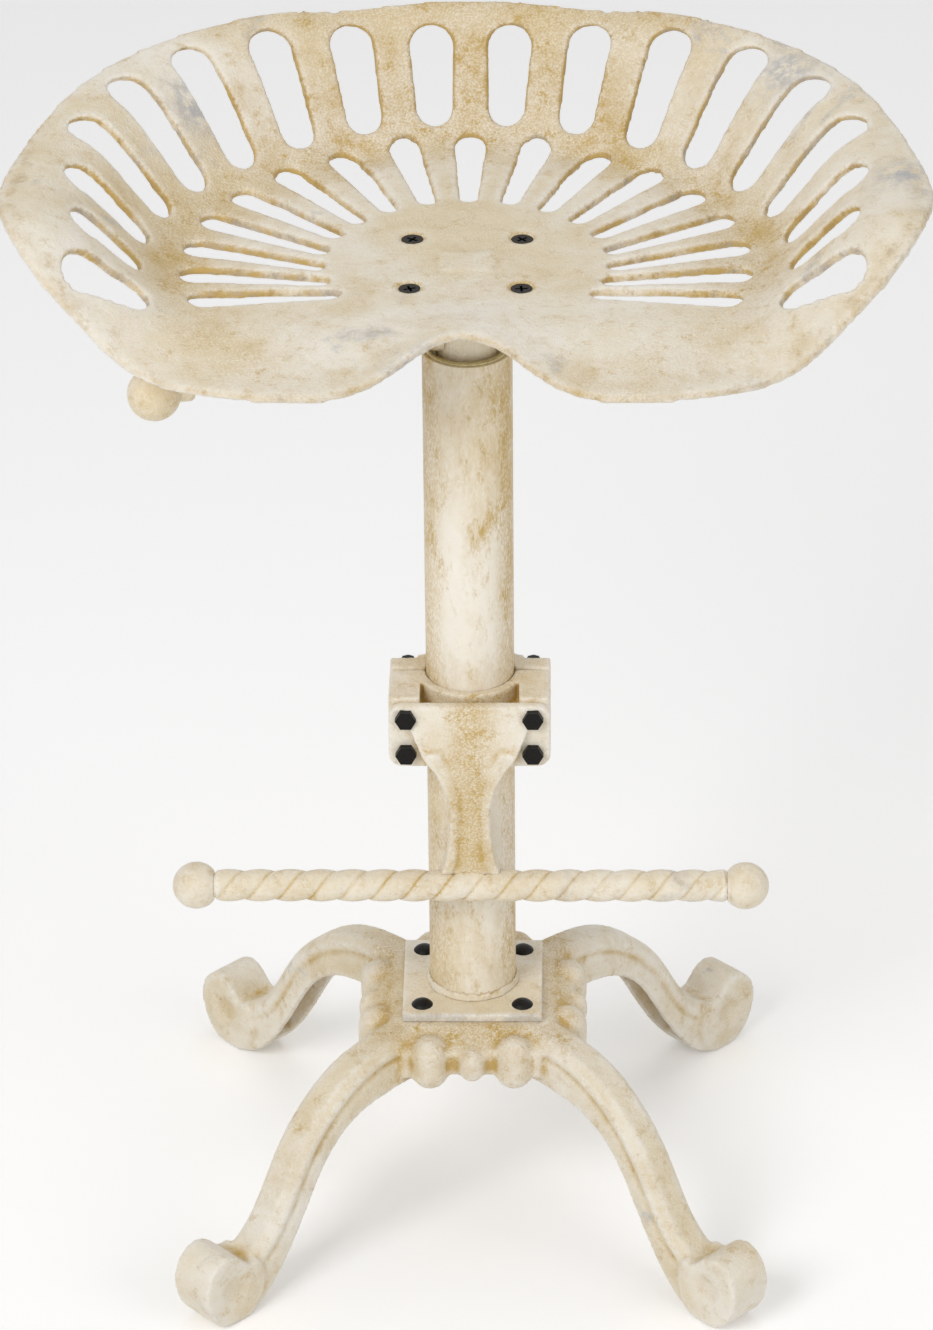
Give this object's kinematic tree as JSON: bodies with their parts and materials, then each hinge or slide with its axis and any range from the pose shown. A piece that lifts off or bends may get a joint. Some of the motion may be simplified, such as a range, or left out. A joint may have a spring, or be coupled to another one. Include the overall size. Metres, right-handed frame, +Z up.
{
  "type": "tractor seat stool",
  "caption": "Height-adjustable stool: a slotted cast seat on a screw-lift post with a turning handle, a clamped footrest bar and a base of S-curved legs with scroll feet.",
  "frame": {"origin": "on the floor, on the axis of the post", "axes": "+Z up along the post, the front of the stool, where the seat has its notch, faces -Y, +X is to the right as seen from the front"},
  "size_m": [0.4866, 0.3611, 0.643],
  "materials": {
    "cream_cast_iron": "aged ivory paint over rough castings, with an ochre wash in the recesses",
    "cream_steel": "aged ivory paint with an ochre wash",
    "black_steel": "black oxide, satin",
    "bush_brass": "dull olive brass",
    "bare_steel": "turned and oiled"
  },
  "bodies": {
    "base": {"leg_casting": "cream_cast_iron", "base_plate": "cream_steel", "post_tube": "cream_steel", "post_weld_bead": "cream_steel", "base_bolts": "black_steel", "base_washers": "black_steel", "base_nuts": "black_steel", "top_bush": "bush_brass", "lift_nut": "bush_brass"},
    "carrier": {"thrust_washer": "bush_brass"},
    "spindle": {"lift_column": "cream_steel", "lift_screw": "bare_steel", "screw_plug": "bare_steel", "guide_collar": "bush_brass", "pintle_cap": "bare_steel", "retaining_ring": "bare_steel", "handle_rod": "cream_steel", "handle_boss": "cream_steel", "handle_knob": "cream_cast_iron"},
    "seat": {"seat_pan": "cream_cast_iron", "seat_flange": "cream_cast_iron", "seat_screws": "black_steel", "seat_nuts": "black_steel"},
    "footrest": {"clamp_front_half": "cream_cast_iron", "clamp_rear_half": "cream_cast_iron", "footrest_bracket": "cream_cast_iron", "footrest_bar": "cream_steel", "left_bar_ball": "cream_cast_iron", "right_bar_ball": "cream_cast_iron", "clamp_bolts": "black_steel", "clamp_acorn_nuts": "black_steel"}
  },
  "joints": [
    {"name": "seat_height", "type": "slide", "parent": "base", "child": "carrier", "axis": [0, 0, 1], "range_m": [0, 0.15]},
    {"name": "spindle_turn", "type": "hinge", "parent": "carrier", "child": "spindle", "pos_m": [0, 0, 0.541], "axis": [0, 0, 1], "range_deg": [0, 9000]},
    {"name": "seat_swivel", "type": "hinge", "parent": "carrier", "child": "seat", "pos_m": [0, 0, 0.56], "axis": [0, 0, 1], "continuous": true},
    {"name": "footrest_height", "type": "slide", "parent": "base", "child": "footrest", "axis": [0, 0, 1], "range_m": [-0.06, 0.14]}
  ],
  "couplings": [
    {"joint": "seat_height", "follows": "spindle_turn", "m_per_rad": 0.00095492}
  ]
}
